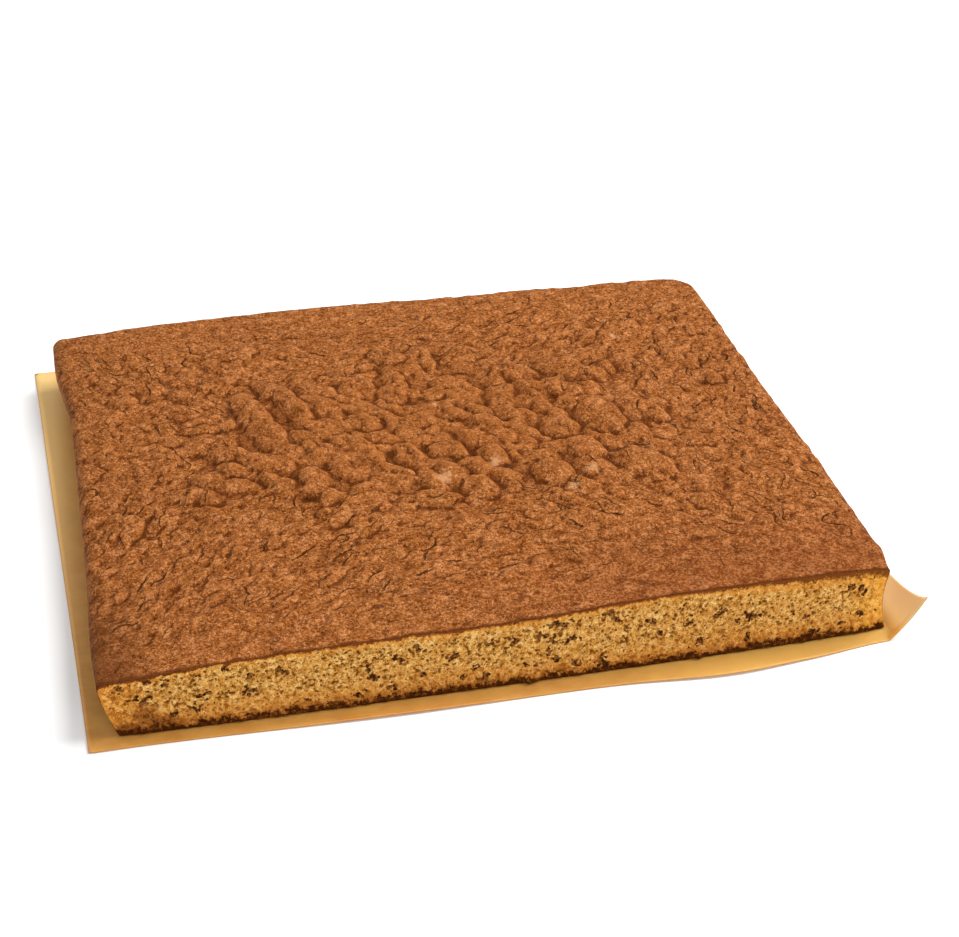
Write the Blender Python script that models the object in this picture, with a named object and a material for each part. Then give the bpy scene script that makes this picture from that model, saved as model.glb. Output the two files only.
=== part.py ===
"""A carrot sheet cake, cut straight along its front, lying on its sheet of baking paper.

Metres, +Z up. The origin is on the surface that the paper lies on, under the middle of the cake.
+X runs to the right along the cut front, +Y away from it. The cake was baked in a sheet tray:
its left, right and back sides are crusted tray sides with a rounded top edge, and the front is
a knife cut with a sharp top edge. The paper reaches past the cake on all sides and curls up
along the right one.
"""

import math
import random

import bmesh
import bpy
from mathutils import Vector, noise

# Driving sizes of the cake
CAKE_WIDTH = 0.402
CAKE_DEPTH = 0.336
CAKE_BASE = 0.0007            # the paper's thickness and a hair of air
SHOULDER_RADIUS = 0.007       # how far the crust rounds over at the tray sides
CUT_SHOULDER_RADIUS = 0.002   # the same right at the cut, whose top corners are nearly square
CUT_SHOULDER_REACH = 0.035    # this far behind the cut the shoulder has its full radius
BACK_LEFT_RADIUS = 0.006      # plan corners
BACK_RIGHT_RADIUS = 0.018

# Height of the top crust over the cake's underside. Spans are shares of the width,
# from 0 at the left end to 1 at the right
FRONT_LEFT_HEIGHT = 0.0325
FRONT_RISE = 0.0045           # gained from the left corner
FRONT_RISE_SPAN = (0.0, 0.2)
FRONT_SECOND_RISE = 0.0032    # gained again past the middle
FRONT_SECOND_SPAN = (0.5, 0.7)
FRONT_FALL = 0.0018           # lost at the right corner
FRONT_FALL_SPAN = (0.92, 1.0)
BACK_HEIGHT = 0.0356
BACK_RISE = 0.0025
MIDDLE_RISE = 0.0020
SWELL_HEIGHT = 0.0008         # slow ups and downs of the whole top
SWELL_LENGTH = 0.055
GRAIN_HEIGHT = 0.0005         # roughness between the blisters
GRAIN_LENGTH = 0.011

# How the outline leaves the plain rectangle. Spans on the left and right sides are shares
# of the depth, from 0 at the cut to 1 at the back
LEFT_FLARE = 0.007            # the back left corner stands out this far
LEFT_FLARE_SPAN = (0.70, 0.92)
RIGHT_BULGE = 0.0016          # the right side, over its front half
RIGHT_BULGE_FADE = 0.75
RIGHT_BULGE_SPAN = (0.3, 0.6)
BACK_BOW = 0.0062             # the back side, over its left half
BACK_BOW_SPAN = (0.35, 0.70)
BACK_BOW_CORNER = 0.15
CORNER_SWELL = 0.0011         # the left rim stands out a little, just behind the cut
CORNER_SPAN = (0.0, 0.10)
CORNER_FADE_SPAN = (0.12, 0.27)
CORNER_PULL = 0.0042          # the front right corner stands back
CORNER_RIGHT_SPAN = (0.0, 0.07)
LEFT_UNDERCUT = 0.0077        # the underside is this much inside the rim
LEFT_UNDERCUT_BEND = 1.5      # above 1 the side bends in towards its foot
RIGHT_UNDERCUT = 0.0038
BACK_UNDERCUT = 0.0045
FRONT_FOOT = 0.0032           # the cut leans forward to its foot
FRONT_FOOT_GAIN = 0.0020      # and more so towards the right

# The baking paper
PAPER_THICKNESS = 0.0004
PAPER_LEFT_FRONT = 0.0075     # margins seen past the cake
PAPER_LEFT_BACK = 0.0200
PAPER_FRONT_LEFT = 0.0098
PAPER_FRONT_GAIN = 0.0053
PAPER_FRONT_SPAN = (0.0, 0.4)
PAPER_FRONT_BULGE = 0.0055    # the front edge bows out, right of the middle
PAPER_BULGE_PLACE = 0.77
PAPER_BULGE_WIDTH = 0.11
PAPER_FRONT_FALL = 0.0035
PAPER_FALL_SPAN = (0.88, 1.0)
PAPER_BACK = 0.0200
PAPER_WAVE = 0.0011
PAPER_WAVE_TURNS = (37.0, 23.0, 1.7)
PAPER_WAVE_REACH = 0.012
CREASE_SHIFT = 0.0035         # in front of the cake the flap starts this much nearer
CREASE_LENGTH = 0.005
FLAP_REACH = 0.0145           # the curled edge on the right, out from the cake
FLAP_NARROWING = 0.0055       # by the time it reaches the back half
FLAP_NARROW_SPAN = (-0.025, 0.475)
FLAP_LIFT_FRONT = 0.0240
FLAP_LIFT_BACK = 0.0080
FLAP_FADE = 0.023
FLAP_STRAIGHT = 0.8           # the share of the lift that rises evenly

# Relief of the top crust: the largest pillows of the blistered middle, each with
# its centre x and y, half length, half width, turn in degrees, and rise
PILLOWS = [
    (-0.080, 0.054, 0.030, 0.0085, -65, 0.0042),
    (-0.096, 0.034, 0.038, 0.0100, -76, 0.0037),
    (-0.061, 0.047, 0.018, 0.0105, -48, 0.0032),
    (-0.075, 0.014, 0.012, 0.0085, -37, 0.0030),
    (-0.040, 0.022, 0.013, 0.0100, -41, 0.0035),
    (-0.035, 0.004, 0.016, 0.0080, -28, 0.0032),
    (-0.047, -0.010, 0.016, 0.0090, -47, 0.0034),
    (-0.077, -0.030, 0.014, 0.0105, -71, 0.0045),
    (-0.100, -0.008, 0.018, 0.0110, -36, 0.0032),
    (-0.126, 0.021, 0.015, 0.0100, -38, 0.0025),
    (0.050, 0.062, 0.021, 0.0110, -30, 0.0030),
    (0.087, 0.056, 0.018, 0.0100, -34, 0.0042),
    (0.026, 0.004, 0.013, 0.0100, -54, 0.0035),
    (0.001, -0.016, 0.013, 0.0085, -38, 0.0037),
    (0.023, -0.029, 0.0105, 0.0080, -62, 0.0045),
    (-0.003, -0.038, 0.013, 0.0100, -54, 0.0040),
    (0.048, 0.008, 0.013, 0.0095, -54, 0.0028),
    (0.067, -0.004, 0.015, 0.0100, -68, 0.0030),
    (0.092, 0.003, 0.020, 0.0130, -70, 0.0040),
    (0.075, -0.031, 0.014, 0.0095, -68, 0.0040),
    (0.052, -0.050, 0.013, 0.0095, -61, 0.0032),
    (0.103, -0.052, 0.018, 0.0120, -50, 0.0037),
]
MIDDLE_COUNT = 110                  # more pillows, drawn close together around the middle
MIDDLE_SPREAD = (0.070, 0.036)
MIDDLE_HALF_WIDTHS = (0.0050, 0.0088)
MIDDLE_SLIMNESS = (1.15, 1.9)
MIDDLE_TURNS = (-52.0, 22.0)
MIDDLE_RISES = (0.0016, 0.0038)
BLISTER_COUNT = 260
BLISTER_SEED = 11
BLISTER_MIDDLE = (-0.005, 0.012)
BLISTER_SPREAD = (0.135, 0.085)     # past this the blisters are small and low
BLISTER_CORE = 0.45
BLISTER_LARGE = 0.0085              # half width in the middle
BLISTER_SMALL = 0.0050              # half width at the rim
BLISTER_HIGH = 0.0030
BLISTER_LOW = 0.0009
BLISTER_TURN = -55.0                # degrees, in the middle; along the sides they lie along them
BLISTER_EDGE = 0.008                # kept clear inside the outline
FOLD_LEAN = 0.35                    # pillows stand higher, and drop steeper, on their back right side
FOLD_BEND = 0.0022                  # how far the pillows' outlines wander from plain ellipses
FOLD_BEND_LENGTH = 0.016
DOME_ROUND = 0.7                    # 0.5 is an ellipsoid, 1 a parabola

# Spacing of the mesh
FINE_STEP = 0.0046
COARSE_STEP = 0.0095
FINE_HALF_WIDTH = 0.112
FINE_HALF_DEPTH = 0.062
STEP_FADE = 0.025
SHOULDER_STATIONS = (0.0, 0.0007, 0.0022, 0.0044)
SIDE_RINGS = (0.40, 0.78, 1.0)
PAPER_MIDDLE_CELLS = 14
PAPER_FLAP_CELLS = 8
PAPER_MARGIN_SHARES = (0.0, 0.3, 0.6, 1.0)
PAPER_FRONT_SHARES = (0.0, 0.3, 0.5, 0.65, 1.0)
SHARP_ANGLE = 50.0

CRUST_COLOUR = (0.376, 0.127, 0.034, 1.0)
CRUMB_COLOUR = (0.474, 0.216, 0.050, 1.0)
PAPER_COLOUR = (0.610, 0.305, 0.091, 1.0)


def ease(amount):
    """A soft step from 0 to 1."""
    amount = min(max(amount, 0.0), 1.0)
    return amount * amount * (3.0 - 2.0 * amount)


def ramp(value, span):
    """A soft step from 0 at the span's start to 1 at its end."""
    return ease((value - span[0]) / (span[1] - span[0]))


def clear_scene():
    for item in list(bpy.data.objects):
        bpy.data.objects.remove(item, do_unlink=True)


def make_material(name, colour, roughness):
    material = bpy.data.materials.new(name)
    material.use_nodes = True
    shader = material.node_tree.nodes["Principled BSDF"]
    shader.inputs["Base Color"].default_value = colour
    shader.inputs["Roughness"].default_value = roughness
    shader.inputs["Metallic"].default_value = 0.0
    return material


def place_object(name, mesh_builder, materials):
    mesh = bpy.data.meshes.new(name)
    mesh_builder.to_mesh(mesh)
    mesh_builder.free()
    for material in materials:
        mesh.materials.append(material)
    mesh.shade_smooth()
    mesh.set_sharp_from_angle(angle=math.radians(SHARP_ANGLE))
    item = bpy.data.objects.new(name, mesh)
    bpy.context.scene.collection.objects.link(item)
    return item


def scatter_blisters():
    """The pillows placed by hand, then smaller ones by a seeded draw between and around them."""
    draw = random.Random(BLISTER_SEED)
    blisters = list(PILLOWS)
    for _ in range(MIDDLE_COUNT):
        x = draw.gauss(BLISTER_MIDDLE[0], MIDDLE_SPREAD[0])
        y = draw.gauss(BLISTER_MIDDLE[1], MIDDLE_SPREAD[1])
        half_width = draw.uniform(*MIDDLE_HALF_WIDTHS)
        half_length = half_width * draw.uniform(*MIDDLE_SLIMNESS)
        turn = draw.gauss(*MIDDLE_TURNS)
        blisters.append((x, y, half_length, half_width, turn, draw.uniform(*MIDDLE_RISES)))
    for _ in range(BLISTER_COUNT):
        x = draw.uniform(-0.5, 0.5) * (CAKE_WIDTH - 2 * BLISTER_EDGE)
        y = draw.uniform(-0.5, 0.5) * (CAKE_DEPTH - 2 * BLISTER_EDGE)
        off_x = (x - BLISTER_MIDDLE[0]) / BLISTER_SPREAD[0]
        off_y = (y - BLISTER_MIDDLE[1]) / BLISTER_SPREAD[1]
        outside = ease(math.hypot(off_x, off_y) - BLISTER_CORE)
        half_width = BLISTER_LARGE + (BLISTER_SMALL - BLISTER_LARGE) * outside
        half_width *= draw.uniform(0.75, 1.25)
        half_length = half_width * draw.uniform(1.1, 1.9)
        around = -90.0 - math.degrees(math.atan2(off_y, off_x))
        turn = (1.0 - outside) * BLISTER_TURN + outside * around + draw.uniform(-25.0, 25.0)
        rise = BLISTER_HIGH + (BLISTER_LOW - BLISTER_HIGH) * outside
        rise *= draw.uniform(0.55, 1.15)
        blisters.append((x, y, half_length, half_width, turn, rise))
    return blisters


def blister_height(x, y, blisters):
    """Height of the highest blister over a point: leaning domes that meet in creases."""
    height = 0.0
    place = (x / FOLD_BEND_LENGTH, y / FOLD_BEND_LENGTH)
    x += FOLD_BEND * noise.noise(Vector((*place, 1.3)))
    y += FOLD_BEND * noise.noise(Vector((*place, 5.9)))
    for centre_x, centre_y, half_length, half_width, turn, rise in blisters:
        off_x = x - centre_x
        off_y = y - centre_y
        if abs(off_x) > half_length or abs(off_y) > half_length:
            continue
        angle = math.radians(turn)
        along = (off_x * math.cos(angle) + off_y * math.sin(angle)) / half_length
        across = (off_y * math.cos(angle) - off_x * math.sin(angle)) / half_width
        reach = along * along + across * across
        if reach < 1.0:
            height = max(height, rise * (1.0 - reach) ** DOME_ROUND * (1.0 + FOLD_LEAN * across))
    return height


def crust_height(x, y, blisters):
    """Height of the top crust over the cake's underside, without its rounded shoulder."""
    along = x / CAKE_WIDTH + 0.5
    away = y / CAKE_DEPTH + 0.5
    front = FRONT_LEFT_HEIGHT + FRONT_RISE * ramp(along, FRONT_RISE_SPAN)
    front += FRONT_SECOND_RISE * ramp(along, FRONT_SECOND_SPAN)
    front -= FRONT_FALL * ramp(along, FRONT_FALL_SPAN)
    back = BACK_HEIGHT + BACK_RISE * math.sin(math.pi * min(max(along, 0.0), 1.0))
    height = front + (back - front) * ease(away)
    height += MIDDLE_RISE * (1.0 - (2.0 * along - 1.0) ** 2) * (1.0 - (2.0 * away - 1.0) ** 2)
    height += SWELL_HEIGHT * noise.noise(Vector((x / SWELL_LENGTH, y / SWELL_LENGTH, 3.1)))
    height += GRAIN_HEIGHT * noise.noise(Vector((x / GRAIN_LENGTH, y / GRAIN_LENGTH, 7.7)))
    return height + blister_height(x, y, blisters)


def shoulder_drop(x, y):
    """How far the crust has rounded down at a point of the plain rectangle."""
    behind_cut = ease((y + CAKE_DEPTH / 2) / CUT_SHOULDER_REACH)
    radius = CUT_SHOULDER_RADIUS + (SHOULDER_RADIUS - CUT_SHOULDER_RADIUS) * behind_cut
    inside = min(CAKE_WIDTH / 2 - abs(x), CAKE_DEPTH / 2 - y, radius)
    over = radius - max(inside, 0.0)
    return radius - math.sqrt(radius ** 2 - over ** 2)


def outline_point(x, y, depth):
    """Move a point of the plain rectangle to the cake's outline, depth 0 at the rim, 1 at the foot."""
    for side, radius in ((-1.0, BACK_LEFT_RADIUS), (1.0, BACK_RIGHT_RADIUS)):
        off_x = side * x - (CAKE_WIDTH / 2 - radius)
        off_y = y - (CAKE_DEPTH / 2 - radius)
        if off_x > 0.0 and off_y > 0.0:
            pull = max(off_x, off_y) / math.hypot(off_x, off_y)
            x = side * (CAKE_WIDTH / 2 - radius + off_x * pull)
            y = CAKE_DEPTH / 2 - radius + off_y * pull
    along = x / CAKE_WIDTH + 0.5
    away = y / CAKE_DEPTH + 0.5
    left = LEFT_UNDERCUT * depth ** LEFT_UNDERCUT_BEND - LEFT_FLARE * ramp(away, LEFT_FLARE_SPAN)
    left -= CORNER_SWELL * ramp(away, CORNER_SPAN) * (1.0 - ramp(away, CORNER_FADE_SPAN))
    right = RIGHT_BULGE * (1.0 - RIGHT_BULGE_FADE * ramp(away, RIGHT_BULGE_SPAN))
    right -= CORNER_PULL * (1.0 - ramp(away, CORNER_RIGHT_SPAN))
    hollow = 0.35 * depth + 0.65 * math.sin(math.pi * min(depth, 1.0))
    right = right * (1.0 - depth) - RIGHT_UNDERCUT * hollow
    back = BACK_BOW * (0.5 + 0.5 * ease(along / BACK_BOW_CORNER)) * (1.0 - ramp(along, BACK_BOW_SPAN))
    back -= BACK_UNDERCUT * depth
    spread = math.sin(math.pi * min(max(along, 0.0), 1.0)) ** 0.3
    front = -(FRONT_FOOT + FRONT_FOOT_GAIN * along) * spread * depth
    return x + left * (1.0 - along) + right * along, y + front * (1.0 - away) + back * away


def stations(start, stop, middle, half_span):
    """Places from start to stop, close together around the middle."""
    places = [start]
    while True:
        outside = ease((abs(places[-1] - middle) - half_span) / STEP_FADE)
        step = FINE_STEP + (COARSE_STEP - FINE_STEP) * outside
        if places[-1] + 1.5 * step > stop:
            return places + [stop]
        places.append(places[-1] + step)


def build_cake(materials):
    blisters = scatter_blisters()
    left, right = -CAKE_WIDTH / 2, CAKE_WIDTH / 2
    front, back = -CAKE_DEPTH / 2, CAKE_DEPTH / 2
    columns = [left + inset for inset in SHOULDER_STATIONS]
    columns += stations(left + SHOULDER_RADIUS, right - SHOULDER_RADIUS, BLISTER_MIDDLE[0], FINE_HALF_WIDTH)
    columns += [right - inset for inset in reversed(SHOULDER_STATIONS)]
    rows = stations(front, back - SHOULDER_RADIUS, BLISTER_MIDDLE[1], FINE_HALF_DEPTH)
    rows += [back - inset for inset in reversed(SHOULDER_STATIONS)]

    cake = bmesh.new()
    bmesh.ops.create_grid(cake, x_segments=len(columns) - 1, y_segments=len(rows) - 1, size=1.0)
    rim = {}
    for vertex in cake.verts:
        column = round((vertex.co.x + 1.0) / 2.0 * (len(columns) - 1))
        row = round((vertex.co.y + 1.0) / 2.0 * (len(rows) - 1))
        home_x, home_y = columns[column], rows[row]
        x, y = outline_point(home_x, home_y, 0.0)
        height = crust_height(x, y, blisters) - shoulder_drop(home_x, home_y)
        vertex.co = (x, y, CAKE_BASE + height)
        if vertex.is_boundary:
            rim[vertex] = (home_x, home_y, height)

    # The sides go down ring by ring, each vertex from the one above it
    for depth in SIDE_RINGS:
        edges = [edge for edge in cake.edges if edge.is_boundary]
        lower = bmesh.ops.extrude_edge_only(cake, edges=edges)["geom"]
        ring = {}
        for vertex in lower:
            if isinstance(vertex, bmesh.types.BMVert):
                beside = [edge.other_vert(vertex) for edge in vertex.link_edges]
                home_x, home_y, height = next(rim[other] for other in beside if other in rim)
                ring[vertex] = (home_x, home_y, height)
                x, y = outline_point(home_x, home_y, depth)
                vertex.co = (x, y, CAKE_BASE + height * (1.0 - depth))
        rim = ring
    foot = [edge for edge in cake.edges if edge.is_boundary]
    bmesh.ops.contextual_create(cake, geom=foot)
    bmesh.ops.recalc_face_normals(cake, faces=cake.faces)
    bmesh.ops.triangulate(cake, faces=cake.faces)
    for face in cake.faces:
        face.material_index = 1 if face.normal.y < -0.8 else 0
    return place_object("cake", cake, materials)


def flap_crease(y):
    """Where the paper starts to rise, on the right: along the cake's foot, nearer in front of it."""
    foot = -CAKE_DEPTH / 2 - FRONT_FOOT - FRONT_FOOT_GAIN
    return CAKE_WIDTH / 2 - CREASE_SHIFT * ease((foot - y) / CREASE_LENGTH)


def paper_lift(x, y):
    """Height of the paper at a place of the cake's plan: flat under the cake, curled on the right."""
    right_edge = flap_crease(y)
    if x > right_edge:
        behind = y + CAKE_DEPTH / 2 + PAPER_FRONT_LEFT
        lift = FLAP_LIFT_BACK + (FLAP_LIFT_FRONT - FLAP_LIFT_BACK) * math.exp(-behind / FLAP_FADE)
        share = (x - right_edge) / (CAKE_WIDTH / 2 + FLAP_REACH - right_edge)
        return lift * (FLAP_STRAIGHT * share ** 1.1 + (1.0 - FLAP_STRAIGHT) * share ** 3)
    foot = FRONT_FOOT + FRONT_FOOT_GAIN
    outside = max(-CAKE_WIDTH / 2 - x, -CAKE_DEPTH / 2 - foot - y, y - CAKE_DEPTH / 2 - BACK_BOW, 0.0)
    turn_x, turn_y, start = PAPER_WAVE_TURNS
    wave = 0.5 + 0.5 * math.sin(turn_x * x + turn_y * y + start)
    return PAPER_WAVE * wave * ease(outside / PAPER_WAVE_REACH)


def front_margin(along):
    """How far the paper reaches past the cut, from 0 at the left end to 1 at the right."""
    margin = PAPER_FRONT_LEFT + PAPER_FRONT_GAIN * ramp(along, PAPER_FRONT_SPAN)
    margin += PAPER_FRONT_BULGE * math.exp(-((along - PAPER_BULGE_PLACE) / PAPER_BULGE_WIDTH) ** 2)
    return margin - PAPER_FRONT_FALL * ramp(along, PAPER_FALL_SPAN)


def build_paper(material):
    left, right = -CAKE_WIDTH / 2, CAKE_WIDTH / 2
    front, back = -CAKE_DEPTH / 2, CAKE_DEPTH / 2
    cells = PAPER_MIDDLE_CELLS
    columns = [("margin", share) for share in PAPER_MARGIN_SHARES]
    columns += [("middle", cell / cells) for cell in range(1, cells)]
    columns += [("flap", cell / PAPER_FLAP_CELLS) for cell in range(PAPER_FLAP_CELLS + 1)]
    rows = [("front", share) for share in PAPER_FRONT_SHARES]
    rows += [("middle", (cell / cells) ** 1.4) for cell in range(1, cells)]
    rows += [("back", share) for share in PAPER_MARGIN_SHARES]

    paper = bmesh.new()
    bmesh.ops.create_grid(paper, x_segments=len(columns) - 1, y_segments=len(rows) - 1, size=1.0)
    for vertex in paper.verts:
        column, x_share = columns[round((vertex.co.x + 1.0) / 2.0 * (len(columns) - 1))]
        row, y_share = rows[round((vertex.co.y + 1.0) / 2.0 * (len(rows) - 1))]
        along = {"margin": 0.0, "middle": x_share, "flap": 1.0}[column]
        if row == "front":
            y = front - front_margin(along) * (1.0 - y_share)
        elif row == "middle":
            y = front + CAKE_DEPTH * y_share
        else:
            y = back + PAPER_BACK * y_share
        away = (y - front) / CAKE_DEPTH
        left_margin = PAPER_LEFT_FRONT + (PAPER_LEFT_BACK - PAPER_LEFT_FRONT) * away
        inner_left = left + LEFT_UNDERCUT
        reach = FLAP_REACH - FLAP_NARROWING * ramp(away, FLAP_NARROW_SPAN)
        if column == "margin":
            x = left - left_margin + (inner_left - left + left_margin) * x_share
        elif column == "middle":
            x = inner_left + (right - inner_left) * x_share
        else:
            start = flap_crease(y)
            x = start + (right + reach - start) * x_share
        vertex.co = (x, y, paper_lift(x, y))
    bmesh.ops.triangulate(paper, faces=paper.faces)
    item = place_object("baking_paper", paper, [material])
    thickness = item.modifiers.new("thickness", "SOLIDIFY")
    thickness.thickness = PAPER_THICKNESS
    thickness.offset = 1.0
    return item


def main():
    clear_scene()
    crust = make_material("crust", CRUST_COLOUR, 0.75)
    crumb = make_material("crumb", CRUMB_COLOUR, 0.9)
    paper = make_material("baking_paper", PAPER_COLOUR, 0.6)
    build_cake([crust, crumb])
    build_paper(paper)


main()
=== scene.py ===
# %% [markdown]
# # A carrot sheet cake on its baking paper
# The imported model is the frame: it is loaded first and never changed. The finished pieces are
# modelled over it in the same place and size, in metres. The origin is on the surface under the
# middle of the cake, X runs to the right along the cut front, Y away from it and Z up.

# %% Load the frame
import math
import random

import bmesh
import bpy
import numpy as np
from mathutils import Matrix, Vector, noise


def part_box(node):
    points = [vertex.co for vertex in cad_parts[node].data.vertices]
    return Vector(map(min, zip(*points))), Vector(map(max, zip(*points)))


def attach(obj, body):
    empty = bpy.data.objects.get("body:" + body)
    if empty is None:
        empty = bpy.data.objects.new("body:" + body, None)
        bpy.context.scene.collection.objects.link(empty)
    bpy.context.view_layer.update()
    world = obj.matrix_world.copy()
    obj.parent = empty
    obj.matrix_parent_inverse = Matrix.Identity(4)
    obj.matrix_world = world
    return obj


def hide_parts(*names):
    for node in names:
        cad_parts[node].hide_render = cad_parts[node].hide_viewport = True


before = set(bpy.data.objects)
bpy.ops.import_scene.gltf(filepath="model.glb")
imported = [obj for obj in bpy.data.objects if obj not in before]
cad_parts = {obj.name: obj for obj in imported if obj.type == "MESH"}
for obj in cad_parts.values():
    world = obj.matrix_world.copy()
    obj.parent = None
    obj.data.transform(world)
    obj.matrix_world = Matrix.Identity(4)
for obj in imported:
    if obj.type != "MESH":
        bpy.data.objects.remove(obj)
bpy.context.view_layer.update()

# %% [markdown]
# ## Camera
# The photograph was taken from the front left, looking down by about 33 degrees through a
# medium lens. The view is written as a place, a lens and three turns, worked out from the four
# corners of the cake. Its rotation is built from three perpendicular directions, because that is
# easier to read than Euler angles: where the camera looks, its right and its up.

# %% Camera
MM = 0.001
CAMERA_PLACE = Vector((-0.18198, -0.87431, 0.60574))
CAMERA_TURN = -0.2299          # radians to the left of +Y
CAMERA_DOWN = 0.5816
CAMERA_ROLL = 0.0079
FOCAL_PIXELS = 1886.9
IMAGE_WIDTH = 959
SENSOR_WIDTH = 36.0

turn = Matrix.Rotation(CAMERA_TURN, 3, "Z")
look = turn @ Vector((0.0, math.cos(CAMERA_DOWN), -math.sin(CAMERA_DOWN)))
level_right = turn @ Vector((1.0, 0.0, 0.0))
level_up = turn @ Vector((0.0, math.sin(CAMERA_DOWN), math.cos(CAMERA_DOWN)))
right = math.cos(CAMERA_ROLL) * level_right + math.sin(CAMERA_ROLL) * level_up
up = math.cos(CAMERA_ROLL) * level_up - math.sin(CAMERA_ROLL) * level_right

lens = bpy.data.cameras.new("photo camera")
lens.sensor_width = SENSOR_WIDTH
lens.lens = FOCAL_PIXELS / IMAGE_WIDTH * SENSOR_WIDTH
camera = bpy.data.objects.new("photo camera", lens)
camera.matrix_world = Matrix.Translation(CAMERA_PLACE) @ Matrix((right, up, -look)).transposed().to_4x4()
bpy.context.scene.collection.objects.link(camera)
bpy.context.scene.camera = camera
print("lens:", round(lens.lens, 2), "mm")

# %% [markdown]
# ## Shader maths as sums
# A sponge's colour is many small effects laid over each other: mottling, pores, cracks, browning
# towards the crust. Written as nodes and links they can't be read, so one small class wraps a
# node's output and turns Python's operators into Math nodes, and another holds the material and
# adds any other node through one method. All patterns are sized in millimetres.

# %% A wire and a finish
def paint(red, green, blue):
    """A colour as a painter's program shows it, from 0 to 255, made linear for the shader."""
    shown = [value / 255.0 for value in (red, green, blue)]
    return (*[v / 12.92 if v < 0.04045 else ((v + 0.055) / 1.055) ** 2.4 for v in shown], 1.0)


class Wire:
    """One output of a shader node."""

    def __init__(self, finish, socket):
        self.finish = finish
        self.socket = socket

    def maths(self, operation, first, second):
        return self.finish.node("ShaderNodeMath", {"operation": operation}, {0: first, 1: second})

    def __add__(self, other):
        return self.maths("ADD", self, other)

    def __sub__(self, other):
        return self.maths("SUBTRACT", self, other)

    def __rsub__(self, other):
        return self.maths("SUBTRACT", other, self)

    def __mul__(self, other):
        return self.maths("MULTIPLY", self, other)

    def __truediv__(self, other):
        return self.maths("DIVIDE", self, other)

    def __abs__(self):
        return self.maths("ABSOLUTE", self, 0.0)

    __radd__ = __add__
    __rmul__ = __mul__


class Finish:
    """A material in the making."""

    def __init__(self, name, roughness, specular):
        self.material = bpy.data.materials.new(name)
        self.material.use_nodes = True
        self.tree = self.material.node_tree
        self.shader = self.tree.nodes["Principled BSDF"]
        self.shader.inputs["Roughness"].default_value = roughness
        self.shader.inputs["Specular IOR Level"].default_value = specular
        self.painted = None

    def feed(self, socket, value):
        if isinstance(value, Wire):
            self.tree.links.new(value.socket, socket)
        else:
            socket.default_value = value

    def node(self, kind, settings=None, inputs=None, output=0):
        """Add a node: its settings first, then the values or wires of its sockets."""
        made = self.tree.nodes.new(kind)
        for name, value in (settings or {}).items():
            setattr(made, name, value)
        for name, value in (inputs or {}).items():
            self.feed(made.inputs[name], value)
        return Wire(self, made.outputs[output])

    def place(self):
        """Where a point is on the piece, in millimetres."""
        spot = self.node("ShaderNodeTexCoord", output=3)
        return self.node("ShaderNodeVectorMath", {"operation": "SCALE"}, {0: spot, "Scale": 1000.0})

    def split(self, vector):
        first = self.node("ShaderNodeSeparateXYZ", inputs={0: vector})
        outputs = first.socket.node.outputs
        return first, Wire(self, outputs[1]), Wire(self, outputs[2])

    def join(self, x, y, z):
        return self.node("ShaderNodeCombineXYZ", inputs={0: x, 1: y, 2: z})

    def clouds(self, vector, size, detail=2.0, rough=0.5):
        """Soft noise from 0 to 1, with blobs about this many millimetres across."""
        settings = {"Vector": vector, "Scale": 1.0 / size, "Detail": detail, "Roughness": rough}
        return self.node("ShaderNodeTexNoise", None, settings)

    def cells(self, vector, size):
        """Cells about this many millimetres apart: how far a point is from their middle."""
        return self.node("ShaderNodeTexVoronoi", None, {"Vector": vector, "Scale": 1.0 / size})

    def stored(self, name):
        """A number that the mesh carries at each vertex."""
        return self.node("ShaderNodeAttribute", {"attribute_name": name}, output=2)

    def step(self, value, low, high):
        """A soft step: 0 below low, 1 above high. With low above high it falls."""
        return self.node("ShaderNodeMapRange", {"interpolation_type": "SMOOTHSTEP"},
                         {"Value": value, "From Min": low, "From Max": high})

    def mix(self, share, first, second):
        """Share 0 gives the first colour, 1 the second. A colour is a wire or a painter's three."""
        first, second = (paint(*one) if isinstance(one, tuple) else one for one in (first, second))
        return self.node("ShaderNodeMix", {"data_type": "RGBA"}, {0: share, 6: first, 7: second}, 2)

    def shade(self, colour, amount):
        """Lighten or darken a colour by a factor."""
        grey = self.join(amount, amount, amount)
        return self.node("ShaderNodeMix", {"data_type": "RGBA", "blend_type": "MULTIPLY"},
                         {0: 1.0, 6: colour, 7: grey}, 2)

    def relief(self, height):
        """Turn a height in millimetres into the surface's fine relief."""
        bump = self.node("ShaderNodeBump", None, {"Strength": 1.0, "Distance": MM, "Height": height})
        self.feed(self.shader.inputs["Normal"], bump)

    def colour(self, value):
        """Set the ground colour."""
        self.painted = value
        self.feed(self.shader.inputs["Base Color"], value)

    def lay(self, share, value):
        """Lay another colour over what is painted so far."""
        self.colour(self.mix(share, self.painted, value))

    def roughness(self, value):
        self.feed(self.shader.inputs["Roughness"], value)


print("ready to mix finishes")

# %% [markdown]
# ## The form of the cake
# A sheet cake rises a little more in the middle than at its tray sides, and its top is a skin
# that blisters and folds while it bakes. The solid has that form from a few sizes: a height over
# every place of the plan, an outline for every depth, and leaning half ellipsoids for the
# pillows of skin. The same sizes are used here, worked out on arrays, so that the finished crust
# lies where the solid is but can be much finer.

# %% Sizes of the cake
CAKE_WIDTH = 0.402
CAKE_DEPTH = 0.336
CAKE_BASE = 0.0007         # the paper's thickness and a hair of air
LEFT, RIGHT = -CAKE_WIDTH / 2, CAKE_WIDTH / 2
FRONT, BACK = -CAKE_DEPTH / 2, CAKE_DEPTH / 2
SHOULDER_RADIUS = 0.007
CUT_SHOULDER_RADIUS = 0.002
CUT_SHOULDER_REACH = 0.035
BACK_LEFT_RADIUS, BACK_RIGHT_RADIUS = 0.006, 0.018

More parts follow.
